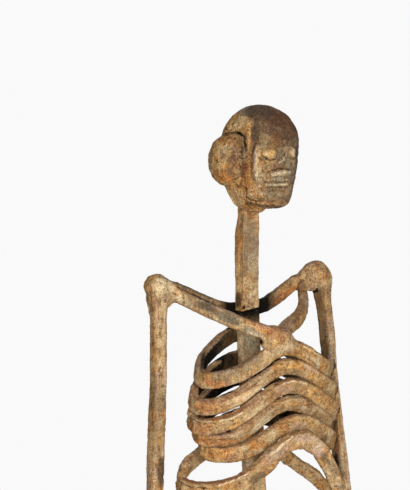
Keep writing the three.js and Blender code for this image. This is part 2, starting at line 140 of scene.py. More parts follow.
class Skin:
    """A closed surface that is worked as arrays before it becomes a piece."""

    def __init__(self, mesh):
        count = len(mesh.vertices)
        self.points = np.empty(count * 3)
        mesh.vertices.foreach_get("co", self.points)
        self.points = self.points.reshape(-1, 3)
        self.faces = np.empty(len(mesh.polygons) * 4, int)
        mesh.polygons.foreach_get("vertices", self.faces)
        self.faces = self.faces.reshape(-1, 4)
        edges = np.empty(len(mesh.edges) * 2, int)
        mesh.edges.foreach_get("vertices", edges)
        self.ends = np.concatenate([edges.reshape(-1, 2), edges.reshape(-1, 2)[:, ::-1]]).T
        self.valence = np.bincount(self.ends[0], minlength=count)[:, None]
        self.masks = {}

    def spread(self, values):
        """The mean of each point's neighbours."""
        start, end = self.ends
        columns = [np.bincount(start, values[end, i], len(values)) for i in range(values.shape[1])]
        return np.stack(columns, 1) / self.valence

    def smooth(self, times, share=0.5):
        for _ in range(times):
            self.points += share * (self.spread(self.points) - self.points)

    def melt(self, centre, radius, times):
        """Smooths the skin as a weld flows, near a point of the figure's own frame, in millimetres."""
        away = np.linalg.norm(self.points - np.array(figure_point(centre)), axis=1)
        self.smooth(times, 0.5 * step_between(radius * MM, 0.5 * radius * MM, away)[:, None])

    def soften(self, times, swell):
        """Rounds the edges, and gives back the width that the bars lose by it, which is swell."""
        self.smooth(times)
        self.push(np.full(len(self.points), swell))

    def normals(self):
        first, second, third, fourth = (self.points[self.faces[:, i]] for i in range(4))
        flat = np.cross(third - first, fourth - second)
        total = np.zeros_like(self.points)
        for i in range(4):
            for axis in range(3):
                total[:, axis] += np.bincount(self.faces[:, i], flat[:, axis], len(self.points))
        return total / np.maximum(np.linalg.norm(total, axis=1)[:, None], 1e-12)

    def push(self, distance):
        """Moves each point along its normal."""
        self.points += self.normals() * distance[:, None]

    def bulge(self, times):
        """How far each point stands out from the smoothed surface round it."""
        level = self.points
        for _ in range(times):
            level = level + 0.5 * (self.spread(level) - level)
        return ((self.points - level) * self.normals()).sum(1)

    def photo_place(self):
        """Each point's pixels across and down in the photograph, and how far it is from the lens."""
        offset = self.points - np.array(EYE)
        depth = -offset @ np.array(BACKWARD)
        across = PHOTO_SIZE[0] / 2 + FOCAL_PIXELS * (offset @ np.array(RIGHTWARD)) / depth
        down = PHOTO_SIZE[1] / 2 - FOCAL_PIXELS * (offset @ np.array(UPWARD)) / depth
        return np.stack([across, down], 1), depth

    def towards_photo(self):
        """How squarely the surface faces the photograph's camera: 1 facing it, and -1 facing away."""
        away = np.array(EYE) - self.points
        away /= np.linalg.norm(away, axis=1)[:, None]
        return (self.normals() * away).sum(1)

    def stain(self, name, amount):
        """Adds to a mask where the amount is greater."""
        self.masks[name] = np.maximum(self.masks.get(name, 0), amount)

    def piece(self, name, material):
        """The skin as a smooth object that carries its masks."""
        mesh = bpy.data.meshes.new(name)
        mesh.from_pydata(self.points.tolist(), [], self.faces.tolist())
        mesh.polygons.foreach_set("use_smooth", np.ones(len(self.faces), bool))
        for mask, values in self.masks.items():
            attribute = mesh.attributes.new(mask, "FLOAT", "POINT")
            attribute.data.foreach_set("value", np.clip(values, 0, 1).astype(np.float32))
        mesh.update()
        mesh.materials.append(material)
        made = bpy.data.objects.new(name, mesh)
        bpy.context.scene.collection.objects.link(made)
        return made


# How far the edges of traced marks wander, in pixels, and how wide their wandering is
RAGGED = (0.9, 5 * MM)

# Traced marks fade out where the surface turns from the camera, between these values of towards_photo
TURNED_AWAY = (-0.15, 0.1)

# The share of an oval over which its mark fades out
OVAL_RIM = 0.6


class Tracing:
    """Places on a skin that are named by the photograph's pixels."""

    def __init__(self, skin, seed, where=None):
        """where is 1 on the part of the skin that may be marked, and 0 elsewhere."""
        self.place, _ = skin.photo_place()
        rough = Grain(seed)
        shift = [rough(skin.points + offset, RAGGED[1]) for offset in (0.0, 0.5)]
        self.place = self.place + RAGGED[0] * np.stack(shift, 1)
        self.seen = step_between(*TURNED_AWAY, skin.towards_photo())
        if where is not None:
            self.seen = self.seen * where

    def spot(self, across, down, half_width, half_height, turn=0):
        """1 inside an oval, falling to 0 across its rim."""
        angle = math.radians(turn)
        x, y = (self.place - (across, down)).T
        wide = (x * math.cos(angle) + y * math.sin(angle)) / half_width
        high = (y * math.cos(angle) - x * math.sin(angle)) / half_height
        return self.seen * step_between(1 + OVAL_RIM / 2, 1 - OVAL_RIM / 2, np.hypot(wide, high))

    def line(self, width, *points):
        """1 along a line through points, falling to 0 at its edges."""
        nearest = np.full(len(self.place), 1e9)
        for start, end in zip(points, points[1:]):
            start, along = np.array(start), np.subtract(end, start)
            share = np.clip((self.place - start) @ along / (along @ along), 0, 1)
            aside = self.place - start - share[:, None] * along
            nearest = np.minimum(nearest, np.linalg.norm(aside, axis=1))
        return self.seen * step_between(width / 2, width / 8, nearest)


def mark(skin, traced, patches, strokes=None):
    """Lays stains and painted light. Under each mark, patches has strengths with ovals, and strokes lines.
    """
    for stain, ovals in patches.items():
        for strength, *oval in ovals:
            skin.stain(stain, strength * traced.spot(*oval))
    for stain, paths in (strokes or {}).items():
        for strength, width, *points in paths:
            skin.stain(stain, strength * traced.line(width, *points))


def reshape(skin, seed, ovals):
    """Raises or lowers the skin inside ovals in the photograph's pixels, each after its millimetres."""
    traced = Tracing(skin, seed)
    skin.push(sum(rise * traced.spot(*oval) for rise, *oval in ovals) * MM)


def figure_point(place):
    """A point of the figure's own frame, in millimetres, as a point of the row frame."""
    return Vector(place) * MM + Vector((0, SET_BACK, 0))


def lump(centre, radii, turn):
    """A rounded bead of metal. centre and radii are in millimetres in the figure's own frame."""
    body = bmesh.new()
    bmesh.ops.create_icosphere(body, subdivisions=3, radius=1)
    spin = Matrix.Identity(4)
    for axis, degrees in zip("XYZ", turn):
        spin = Matrix.Rotation(math.radians(degrees), 4, axis) @ spin
    size = Matrix.Diagonal((*(radius * MM for radius in radii), 1))
    place = Matrix.Translation(figure_point(centre)) @ spin @ size
    bmesh.ops.transform(body, matrix=place, verts=body.verts)
    mesh = bpy.data.meshes.new("lump")
    body.to_mesh(mesh)
    body.free()
    return mesh


def fused(meshes, voxel):
    """One even skin round closed meshes that touch or overlap."""
    body = bmesh.new()
    for mesh in meshes:
        body.from_mesh(mesh)
    joined = bpy.data.meshes.new("joined")
    body.to_mesh(joined)
    body.free()
    holder = bpy.data.objects.new("joined", joined)
    bpy.context.scene.collection.objects.link(holder)
    remesh = holder.modifiers.new("skin", "REMESH")
    remesh.mode = "VOXEL"
    remesh.voxel_size = voxel
    remesh.adaptivity = 0
    graph = bpy.context.evaluated_depsgraph_get()
    evaluated = holder.evaluated_get(graph)
    skin = Skin(evaluated.to_mesh())
    evaluated.to_mesh_clear()
    bpy.data.objects.remove(holder)
    return skin


def solids_of(*nodes):
    return [frame["nodes"][node].data for node in nodes]


def metal_tree():
    """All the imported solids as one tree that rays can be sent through."""
    points, faces = [], []
    for node in frame["nodes"].values():
        first = len(points)
        points += [vertex.co.copy() for vertex in node.data.vertices]
        faces += [[first + i for i in face.vertices] for face in node.data.polygons]
    return BVHTree.FromPolygons(points, faces)


METAL = metal_tree()

# Painted shade in gaps: how far off metal still shelters a surface, how far off the skin its rays start,
# how widely they spread, and how often what they find is evened out
SHELTER = 9 * MM
RAY_START = 2 * MM
RAY_SPREAD = 0.95
SHELTER_ROUNDS = 5


def paint_gap_shade(skin, seed):
    """Marks painted shade where metal close by shelters a surface."""
    normals = skin.normals()
    chance = np.random.default_rng(seed).normal(size=normals.shape)
    ways = normals + RAY_SPREAD * chance / np.linalg.norm(chance, axis=1)[:, None]
    starts = skin.points + RAY_START * normals
    found = np.zeros((len(starts), 1))
    for i, (start, way) in enumerate(zip(starts.tolist(), ways.tolist())):
        _, facing, _, distance = METAL.ray_cast(start, way, SHELTER)
        if distance is not None and facing.dot(way) < 0:
            found[i] = 1 - distance / SHELTER
    for _ in range(SHELTER_ROUNDS):
        found = skin.spread(found)
    skin.masks["gap"] = found[:, 0]


# The width that softened edges are given back
SWELL = 0.4 * MM

# Forging marks: height and width of each kind of unevenness
WAVER = (0.45 * MM, 45 * MM)
HAMMER = (0.4 * MM, 12 * MM)
SCALE = (0.3 * MM, 5 * MM)
CRUST = (0.16 * MM, 2.4 * MM)
PIT = (0.45 * MM, 5.5 * MM)

# The values of the pitting noise where pits start and where they are at full depth
PIT_LEVELS = (0.38, 0.7)

# Creases: their depth, the size of the lumps that they run between, how wide they are as a share
# of the noise that draws them, and how strong they usually are
CREASE = (0.55 * MM, 9 * MM)
CREASE_WIDTH = 0.16
CREASED = 0.3


def forge(skin, seed, creased=CREASED):
    """Hammers, pits and creases a skin."""
    waver, hammer, scale, crust, pit = (Grain(seed + i) for i in range(5))
    points = skin.points.copy()
    flakes = scale(points, SCALE[1])
    pits = step_between(*PIT_LEVELS, pit(points, PIT[1]) + 0.3 * flakes)
    skin.masks["pits"] = pits
    bend = Grain(seed + 5)(points, CREASE[1]) + 0.45 * crust(points + 0.3, 0.4 * CREASE[1])
    crease = creased * step_between(CREASE_WIDTH, 0.0, np.abs(bend))
    skin.masks["crease"] = crease
    skin.push(
        WAVER[0] * waver(points, WAVER[1]) + HAMMER[0] * hammer(points, HAMMER[1])
        + SCALE[0] * flakes + CRUST[0] * crust(points, CRUST[1]) - PIT[0] * pits - CREASE[0] * crease
    )


# Width of the streaks that forging draws out along a bar, and how many times longer they are
STREAK = (2.6 * MM, 8.0)

# About how far the hoops are from the chest's line, which sets the length of the streaks round them
HOOP_REACH = 0.1

# How far an edge stands out, or a hollow lies in, where its wear or dirt starts and where it is full,
# and how often the skin is smoothed to find the level that it is measured from
WORN = (0.12 * MM, 0.6 * MM)
WORN_ROUNDS = 10

# How steeply a face has to look up to be given painted shade, as the upward part of its normal
UPPER = (0.4, 0.62)


def weather(skin, seed, hoop=False, upper_shade_amount=0.3, streaked=1.0):
    """Marks a skin's worn edges, dirty hollows and the streaks along its bars, and paints shade on its
    upper faces and in its gaps.

    The last two arguments say how much painted shade darkens the upper faces and how strong the streaks
    are.
    """
    bulge = skin.bulge(WORN_ROUNDS)
    skin.masks["edge"] = step_between(*WORN, bulge)
    skin.masks["hollow"] = step_between(*WORN, -bulge)
    skin.masks["above"] = upper_shade_amount * step_between(*UPPER, skin.normals()[:, 2])
    if hoop:
        x, y = (skin.points[:, :2] - np.array(CHEST_AXIS)[:2]).T
        reach = np.hypot(x, y)
        along = np.stack([np.arctan2(x, -y) * HOOP_REACH / STREAK[1], reach, skin.points[:, 2]], 1)
    else:
        along = skin.points / (1, 1, STREAK[1])
    skin.masks["streak"] = 0.5 + 0.6 * streaked * Grain(seed + 7)(along, STREAK[0])
    paint_gap_shade(skin, seed)


def linear(colour):
    """A hex colour as the linear numbers that a shader takes."""
    parts = [int(colour[i:i + 2], 16) / 255 for i in (1, 3, 5)]
    return tuple(p / 12.92 if p <= 0.04045 else ((p + 0.055) / 1.055) ** 2.4 for p in parts) + (1.0,)


class Term:
    """A socket of a shader, so that sums on it are written as sums. nodes is what it belongs to."""

    def __init__(self, nodes, socket):
        self.nodes = nodes
        self.socket = socket

    def maths(self, operation, *values):
        return self.nodes.node("ShaderNodeMath", {"operation": operation}, *values)

    def __add__(self, other):
        return self.maths("ADD", self, other)

    def __radd__(self, other):
        return self.maths("ADD", other, self)

    def __sub__(self, other):
        return self.maths("SUBTRACT", self, other)

    def __rsub__(self, other):
        return self.maths("SUBTRACT", other, self)

    def __mul__(self, other):
        return self.maths("MULTIPLY", self, other)

    def __rmul__(self, other):
        return self.maths("MULTIPLY", other, self)

    def scaled(self, amount):
        """A colour made lighter or darker."""
        return self.nodes.node("ShaderNodeVectorMath", {"operation": "SCALE"}, self, amount)

    def held(self):
        """The value kept between 0 and 1."""
        return self.nodes.node("ShaderNodeClamp", {}, self, 0.0, 1.0)

    def rise(self, low, high):
        """0 below low and 1 above high, with a smooth rise between."""
        settings = {"interpolation_type": "SMOOTHSTEP"}
        return self.nodes.node("ShaderNodeMapRange", settings, self, low, high, 0.0, 1.0)


class Nodes:
    """The shader nodes of a material or a sky."""

    def __init__(self, owner):
        owner.use_nodes = True
        self.tree = owner.node_tree

    def node(self, kind, settings, *values, output=0):
        """Adds a node: its settings first, then the values or links of its sockets in order."""
        made = self.tree.nodes.new(kind)
        for setting, value in settings.items():
            setattr(made, setting, value)
        sockets = [socket for socket in made.inputs if socket.enabled]
        for socket, value in zip(sockets, values):
            self.feed(socket, value)
        outputs = [socket for socket in made.outputs if socket.enabled]
        return Term(self, outputs[output])

    def feed(self, socket, value):
        if isinstance(value, Term):
            self.tree.links.new(value.socket, socket)
        else:
            socket.default_value = value


class Finish(Nodes):
    """A material that is built from code."""

    def __init__(self, name):
        self.material = bpy.data.materials.new(name)
        super().__init__(self.material)
        self.shader = self.tree.nodes["Principled BSDF"]
        self.place = self.node("ShaderNodeTexCoord", {}, output=3)

    def noise(self, size, detail, roughness=0.55):
        """Noise from 0 to 1 whose lumps are size metres wide."""
        settings = {"noise_dimensions": "3D", "normalize": True}
        return self.node("ShaderNodeTexNoise", settings, self.place, 1 / size, detail, roughness, 2.0, 0.0)

    def mask(self, name):
        return self.node("ShaderNodeAttribute", {"attribute_name": name}, output=2)

    def blend(self, low, high, factor):
        """A colour between two colours."""
        settings = {"data_type": "RGBA", "blend_type": "MIX", "clamp_factor": True}
        return self.node("ShaderNodeMix", settings, factor, low, high)


OCHRE = linear("#ad8049")
TAN = linear("#ad8c60")
BEIGE = linear("#cbb288")
GOLD = linear("#cf9f5d")
RUST = linear("#b87638")
RED = linear("#844a33")
PINK = linear("#c2a692")
GREY = linear("#857b66")
EARTH = linear("#85614a")
UMBER = linear("#54391f")
DARK = linear("#46372a")
# Near black, for painted shade and soot, and for dirt in hollows
SHADE_AND_SOOT_BLACK = linear("#0d0906")
# Ivory for painted highlights and painted light
HIGHLIGHT = linear("#ecd8b0")
# The marks that the pieces carry: stains, with ivory painted highlights and near-black painted shade and
# soot
STAINS_AND_PAINTED_LIGHT = ("gold", "pale", "pink", "rust", "red", "grey", "dark", "bright", "shade_and_soot")


def weathered_iron(name):
    """Old iron under ochre rust: pale crust, red patches and worn edges, with painted shade on upper faces
    and in every gap, and painted highlights.

    Each coat covers the ones before it, so the near black of painted shade and soot comes last.
    """
    finish = Finish(name)
    broad = finish.noise(34 * MM, 2.0)
    patchy = finish.noise(14 * MM, 3.0, 0.5)
    other = finish.noise(11 * MM, 3.0, 0.5)
    mottled = finish.noise(6 * MM, 3.0, 0.55)
    speckled = finish.noise(3.2 * MM, 3.0, 0.7)
    fine = finish.noise(1.5 * MM, 2.0, 0.6)
    gold, pale, pink, rust, red, grey, dark, bright, shade_and_soot = (finish.mask(stain) for stain in STAINS_AND_PAINTED_LIGHT)
    wear_and_shade = ("edge", "hollow", "pits", "above", "streak", "gap", "crease")
    edge, hollow, pits, above, streak, gap, crease = (finish.mask(kind) for kind in wear_and_shade)

    colour = finish.blend(OCHRE, TAN, broad.rise(0.38, 0.6))
    colour = finish.blend(colour, GOLD, (gold * (0.5 + mottled)).held())
    crusted = patchy.rise(0.48, 0.64) * 0.5 + pale * (0.35 + 0.9 * mottled)
    colour = finish.blend(colour, BEIGE, crusted.held())
    rusted = other.rise(0.53, 0.66) * 0.5 + rust * (0.3 + patchy)
    colour = finish.blend(colour, RUST, rusted.held())
    # Painted shade on the upper faces, over earthy patches that differ at random
    colour = finish.blend(colour, EARTH, (above * 0.8 + patchy.rise(0.47, 0.34) * 0.6).held())
    colour = finish.blend(colour, RED, (red * (0.3 + patchy)).held())
    colour = finish.blend(colour, GREY, (grey * (0.3 + mottled)).held())
    dirty = streak.rise(0.5, 0.12) * 0.35 + mottled.rise(0.48, 0.34) * 0.25 + pits * 0.3 + crease * 0.6
    colour = finish.blend(colour, UMBER, dirty.held())
    flecked = speckled.rise(0.55, 0.68) * 0.25 + streak.rise(0.6, 0.95) * 0.3
    colour = finish.blend(colour, BEIGE, flecked.held())
    colour = finish.blend(colour, UMBER, (edge * 0.35 * other.rise(0.6, 0.4)).held())
    worn = edge * fine.rise(0.35, 0.55) * broad.rise(0.45, 0.6) * 0.5
    colour = finish.blend(colour, PINK, (worn + pink * (0.4 + mottled)).held())
    colour = finish.blend(colour, DARK, (dark * (0.55 + 0.8 * mottled)).held())
    # Painted highlights and painted light from the traced marks
    colour = finish.blend(colour, HIGHLIGHT, (bright * (0.3 + 0.8 * speckled)).held())
    # Painted shade in the gaps between parts, first in umber
    colour = finish.blend(colour, UMBER, (gap.rise(0.3, 0.65) * 0.5).held())
    # Near black: painted shade in the gaps and from the traced marks, with dirt in the hollows and soot
    shade_and_soot_amount = gap.rise(0.45, 0.75) + hollow * 0.3 + shade_and_soot * (0.8 + 0.6 * mottled)
    colour = finish.blend(colour, SHADE_AND_SOOT_BLACK, shade_and_soot_amount.held())
    grain = 0.8 * fine.rise(0.3, 0.7) + 0.5 * speckled + 0.5 * mottled + 0.12
    finish.feed(finish.shader.inputs["Base Color"], colour.scaled(grain))

    roughness = 0.6 + 0.3 * mottled + 0.1 * hollow - 0.12 * edge
    finish.feed(finish.shader.inputs["Roughness"], roughness)
    finish.shader.inputs["Metallic"].default_value = 0.0
    finish.shader.inputs["Specular IOR Level"].default_value = 0.12
    height = 0.5 * fine + 0.8 * speckled + 0.8 * mottled
    bump = finish.node("ShaderNodeBump", {}, 0.9, 1.3 * MM, 0.1, height)
    finish.feed(finish.shader.inputs["Normal"], bump)
    return finish.material


IRON = weathered_iron("weathered_iron")
BODY = next(iter(frame["bodies"]))


def finish_piece(skin, name, slot, *nodes):
    """Makes a skin the piece that is seen in place of its nodes."""
    for stain in STAINS_AND_PAINTED_LIGHT:
        skin.masks.setdefault(stain, np.zeros(len(skin.points)))
    made = skin.piece(name, IRON)
    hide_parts(*nodes)
    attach(made, BODY)


# The width of the squares in each skin's mesh
HEAD_MESH = 0.9 * MM
SHOULDER_MESH = 1.3 * MM
SPINE_MESH = 1.4 * MM
RIB_MESH = 1.05 * MM
LOWER_MESH = 1.8 * MM
BASE_MESH = 2.8 * MM

# The first seed of each piece's noise, which its other seeds follow. A rib's first one is RIB_SEED
# and ten times its number, and the seeds of its traced marks follow RIB_MARK_SEED.
HEAD_SEED = 10
SHOULDER_SEED = 20
SPINE_SEED = 30
RIB_SEED = 40
LOWER_SEEDS = {"hip_hoop": 120, "right_leg": 130, "left_leg": 140}
BASE_SEED = 150
RIB_MARK_SEED = 200


# Weld metal under the chin: each bead's middle, half widths and turn, in millimetres and degrees
HEAD_WELDS = (
    ((16.5, -8, 1070.5), (8, 6, 2.2), (0, -40, 0)),
    ((-4, -20, 1072.5), (12, 9, 5.5), (0, 0, 0)),
)


# Where the weld has flowed: the middle and radius in millimetres, and how often it is smoothed
HEAD_MELT = ((17, -8, 1067), 26, 8)

# The heights between which the neck bar gives way to the head, which is more creased and less streaked
NECK_TOP = (1.06, 1.08)
NECK_STREAKS = 0.45


def make_head():
    welds = [lump(*weld) for weld in HEAD_WELDS]
    skin = fused(solids_of("head_and_neck") + welds, HEAD_MESH)
    skin.soften(2, SWELL)
    skin.melt(*HEAD_MELT)
    sculpt_head(skin)
    above_neck = step_between(*NECK_TOP, skin.points[:, 2])
    forge(skin, HEAD_SEED, CREASED + above_neck)
    weather(skin, HEAD_SEED, streaked=NECK_STREAKS * (1 - above_neck))
    mark(skin, Tracing(skin, HEAD_SEED + 6), HEAD_PATCHES, HEAD_LINES)
    mark(skin, Tracing(skin, HEAD_SEED + 7), NECK_PATCHES, NECK_LINES)
    finish_piece(skin, "head_and_neck_forged", "forged_iron", "head_and_neck")


# Relief of the head. A lump is its height in millimetres, then an oval in the photograph's pixels:
# its middle, half width, half height and turn. A ridge is its height, its width and its points.
HEAD_LUMPS = (
    (1.3, 299, 158, 6, 44), (-3.6, 232, 203, 6, 9), (0.8, 236.5, 245, 3, 36), (0.8, 260, 222, 3, 12),
    (0.7, 208, 162, 4, 14), (-0.8, 213, 146, 3, 6), (-3.0, 265, 213, 6, 4), (1.2, 293, 152, 3, 6.5),
    (0.7, 259.5, 303, 3, 6), (2.2, 245, 168, 5.5, 7), (1.0, 269, 152, 7.5, 7), (1.2, 263, 191, 6, 8),
    (0.3, 236, 196, 8, 9), (0.9, 276, 137, 6, 6, -35), (0.9, 246, 181, 5, 6), (0.8, 280, 197, 7, 6),
    (0.7, 243, 154, 4, 5), (-0.9, 282, 157, 6, 10), (-1.2, 266, 168, 4, 7), (-1.0, 278, 179, 9, 3),
    (-0.8, 257, 133, 5, 9, 20),
)
HEAD_RIDGES = (
    (1.7, 9, (257, 148), (256, 165), (258, 181)),
    (1.6, 5, (231, 144), (236, 153), (236, 166), (232, 173)),
    (1.1, 6, (248, 120), (249, 140), (249, 158)), (1.6, 5.5, (272, 174.5), (289, 172)),
    (0.6, 3, (267, 184.6), (287, 184.3)), (0.6, 1.8, (247.5, 191), (253, 190)),
    (0.6, 1.8, (247.5, 195), (253.5, 194)),
    (-4.0, 3.2, (236, 132.5), (241, 134), (244.4, 137.5), (245.3, 148)),
    (-2.0, 2, (222, 134.5), (230, 133), (238, 132.6)), (-1.6, 4, (241, 148), (241, 157)),
    (-1.5, 2.6, (253.5, 147), (251, 158), (250.6, 168), (252, 180)), (-1.8, 2, (231, 181.5), (238, 178)),
    (-1.2, 2.5, (259, 134), (251.5, 151)),
    (-1.6, 2, (245.6, 187), (246.2, 197), (252.5, 200.5), (258, 201.8)),
    (-0.9, 2, (263, 156), (268, 160.5), (275, 159), (276.5, 152)),
    (-0.9, 1.8, (296.5, 150), (296.5, 159)), (-1.3, 1.8, (268, 172), (277.5, 168.4), (290, 169.5)),
    (-1.2, 1.5, (265, 182), (288, 181.6)), (-1.2, 1.5, (266, 187.4), (288, 187)),
    (-0.8, 2, (278, 160), (283, 155), (287, 147)),
)


def sculpt_head(skin):
    """Raises the lobe, cheek, eye and lips of the head, and opens the laps between them."""
    traced = Tracing(skin, HEAD_SEED + 5)
    height = sum(depth * traced.spot(*oval) for depth, *oval in HEAD_LUMPS)
    height = height + sum(depth * traced.line(width, *points) for depth, width, *points in HEAD_RIDGES)
    skin.push(height * MM)
    skin.smooth(1)


# Stains of the head and neck, with painted light. A patch is its strength and an oval, and a line its
# strength, its width and its points, all in the photograph's pixels. The dark patches on the ear's right
# part and the dark line under the chin are painted shade, and so are the near-black lines in the laps
# round the lobe, eyes, nose and lips, and the near-black marks on the neck under the chin, down its corner
# and round its foot; the bright marks, the pale lines on the nose and lips and the pink line down the
# cheek are painted highlights.
HEAD_PATCHES = {
    "gold": (
        (1.0, 237, 125, 14, 10, -25), (1.8, 240, 124, 12, 9, -25), (1.2, 223, 154, 10, 17),
        (1.0, 236, 196, 10, 12), (1.0, 251, 206, 11, 5), (0.8, 269, 152, 7, 7),
    ),
    "pale": (
        (0.5, 225, 153, 7, 10), (0.2, 268, 151, 6, 5.5), (0.3, 292.5, 152, 2.6, 6), (0.7, 259, 189, 5, 6),
        (0.5, 284, 149, 4, 4), (0.6, 262, 192, 3, 3.5), (0.6, 280, 193, 2.5, 2.5), (0.5, 271, 199, 3, 2),
        (0.5, 266, 139, 4, 5),
    ),
    "rust": (
        (0.6, 233, 162, 6, 12), (0.3, 244, 128, 6, 8), (0.7, 252, 205, 10, 4), (0.6, 226, 140, 8, 4),
        (0.8, 226, 176, 9, 7), (0.9, 277, 137, 5, 7, 30), (1.1, 245.5, 168, 5, 6), (0.7, 246, 180, 5, 7),
        (0.6, 272, 201, 6, 4), (0.6, 240, 192, 8, 8), (0.6, 284, 190, 5, 4), (0.6, 241, 152, 4, 6),
        (0.5, 276, 138, 6, 8),
    ),
    "red": (
        (0.4, 235, 158, 4, 10), (0.5, 278, 138, 4, 6, 30), (0.8, 245, 168, 4, 5), (1.8, 277, 118, 12, 8),
        (0.9, 290, 131, 8, 10), (0.7, 268, 128, 9, 6), (0.6, 284, 200, 6, 5), (0.6, 270, 122, 4, 6),
    ),
    "grey": (
        (0.25, 225, 155, 7, 9), (0.7, 284, 190, 6, 4), (0.8, 246, 112, 7, 4, -20), (0.4, 263, 117, 9, 6),
        (0.6, 282, 157, 6, 11), (0.5, 241, 152, 4, 6), (1.0, 279, 179, 9, 3), (0.9, 291, 174, 5, 12),
        (0.5, 270, 195, 8, 7), (0.5, 284, 196, 5, 6), (0.4, 265, 130, 6, 8), (0.6, 287, 147, 5, 6),
        (0.7, 284, 160, 9, 8), (0.5, 270, 112, 12, 2.5),
    ),
    "dark": (
        (0.4, 239, 159, 13, 19), (0.5, 252, 154, 4, 14), (0.6, 272, 143, 18, 7), (0.45, 262, 179, 6, 8),
        (0.55, 271, 188, 12, 8), (0.5, 285, 161, 9, 9), (0.55, 292, 174, 6, 8), (0.35, 291, 174, 5, 12),
        (0.4, 292, 152, 4, 8), (0.35, 270, 164, 8, 4), (0.6, 262, 139, 6, 6), (0.35, 284, 190, 8, 5),
        (0.5, 264, 158, 5, 2.5), (0.6, 268, 191, 2, 4), (0.6, 275, 196, 2.5, 3), (0.6, 286, 198, 3, 3),
        (0.6, 262, 200, 4, 2.5), (0.6, 260, 118, 6, 5), (0.85, 261, 113, 16, 10, 10),
        (0.5, 284, 118, 16, 10, 30), (0.6, 262, 126, 10, 16, 8), (0.8, 282, 128, 16, 16, 8),
        (0.9, 256, 132, 5, 13, 12), (0.8, 290, 132, 9, 15), (0.5, 281, 156, 5, 7),
        (0.35, 275, 199, 12, 7), (0.5, 265, 170, 3, 8), (0.5, 242, 143, 4, 5), (0.5, 289, 199, 5, 6),
    ),
    "bright": (
        (0.3, 241, 122, 7, 5, -25), (0.3, 236, 198, 8, 10), (0.5, 293, 152.5, 1.8, 4),
        (0.15, 251, 196, 4, 3),
    ),
}
HEAD_LINES = {
    "gold": ((0.9, 6, (248, 116), (249, 140), (249, 160)),),
    "pale": (
        (0.75, 9, (257, 148), (256, 165), (258, 182)), (1.3, 7, (272, 174), (289, 172.6)),
        (1.3, 4.4, (267, 184.6), (287, 184.3)), (0.8, 2, (248, 191), (253, 190)),
        (0.8, 2, (248, 195), (253.5, 194)),
    ),
    "pink": ((0.6, 3, (255, 150), (254.5, 172)),),
    "rust": ((0.6, 4, (250, 138), (250, 148), (249, 162)),),
    "red": ((0.5, 4, (233, 147), (236.5, 156), (236, 167)),),
    "grey": ((1.0, 16, (299, 140), (298, 163), (293, 198)),),
    "dark": (
        (0.75, 15, (292, 118), (299, 136), (299, 163), (294, 200)),
        (0.8, 3, (260, 128), (257, 138), (251, 151.5)), (0.8, 5, (247, 203), (262, 206), (280, 207)),
    ),
    "bright": (
        (0.45, 6.5, (272, 174), (281, 172.6), (289, 172.2)), (0.5, 3.6, (267, 184.6), (287, 184.3)),
        (0.5, 1.6, (279, 163), (284, 160), (286, 154)), (0.5, 2.6, (256, 152), (257, 176)),
    ),
    "shade_and_soot": (
        (0.9, 2.6, (237, 132.6), (241, 134), (244.4, 137.5), (245.3, 147)),
        (0.5, 1.4, (239.5, 163), (240.5, 170), (244.5, 174.5), (250, 173.5), (251.8, 167)),
        (0.7, 1.5, (222, 134.2), (230, 133), (238, 132.6)), (0.6, 1.6, (231, 181.5), (238, 178)),
        (0.7, 1.8, (262, 155), (268, 160.5), (275, 159), (277, 151)),
        (0.7, 1.5, (292, 146), (296, 149), (296.3, 156), (293, 159.5)),
        (0.7, 1.4, (268, 172), (277.5, 168.4), (290, 169.5)), (0.55, 1.3, (265, 182), (288, 181.6)),
        (0.55, 1.3, (266, 187.4), (288, 187)), (0.5, 1.6, (253.5, 147), (251, 158), (250.6, 168)),
        (0.7, 1.6, (245.6, 187), (246.2, 197), (252.5, 200.5), (258, 201.8)),
        (0.5, 1.5, (278, 161), (283, 156), (287, 148)),
    ),
}
NECK_PATCHES = {
    "gold": ((0.6, 239.5, 270, 3, 34), (0.5, 248, 280, 6, 18)),
    "pale": ((0.5, 255, 232, 4, 16), (0.55, 253, 270, 7, 34), (0.7, 252, 301, 8, 9)),
    "rust": ((0.7, 239, 236, 3.2, 20), (0.4, 250, 213, 10, 5)),
    "grey": ((0.6, 246, 232, 3, 6), (0.6, 251, 248, 8, 24)),
    "dark": (
        (0.3, 239, 230, 3, 14), (0.2, 250, 250, 9, 40), (0.9, 238.5, 300, 3, 8), (0.4, 246, 219, 5, 5),
    ),
    "shade_and_soot": ((1.0, 244, 307.4, 1.6, 1.6),),
}
NECK_LINES = {
    "shade_and_soot": (
        (0.55, 1.8, (242.4, 215), (242.2, 300)), (0.6, 4, (243, 312.5), (259.5, 307.5)),
        (0.5, 1.4, (243, 209), (251, 216.7), (259, 211)),
    ),
}


# Weld beads in the corners between the shoulder bars, the knobs and the arms, and at the breastbone
SHOULDER_WELDS = (
    ((-116, 17, 982), (13, 9, 6), (0, 24, 0)),
    ((-108, 12, 966), (9, 8, 7), (0, 30, 0)),
    ((-121, 13, 964), (13, 10, 12), (0, 0, 0)),
    ((-132, 12, 966), (14, 12, 14), (0, 0, 0)),
    ((108, 18, 981), (14, 8, 7), (0, -30, 0)),
    ((134, 12, 968), (11, 13, 22), (0, 8, 0)),
    ((113, 12, 965), (12, 10, 7), (0, 0, 0)),
    ((-22, -80, 924), (17, 9, 10), (0, 20, 0)),
    ((-35, -80, 914), (8, 8, 9), (0, 0, 0)),
    ((-9, -80, 914), (17, 9, 13), (0, 0, 0)),
    ((-24, -81, 912), (16, 8, 11), (0, 0, 0)),
    ((7, -80, 905), (13, 8, 10), (0, 0, 0)),
)


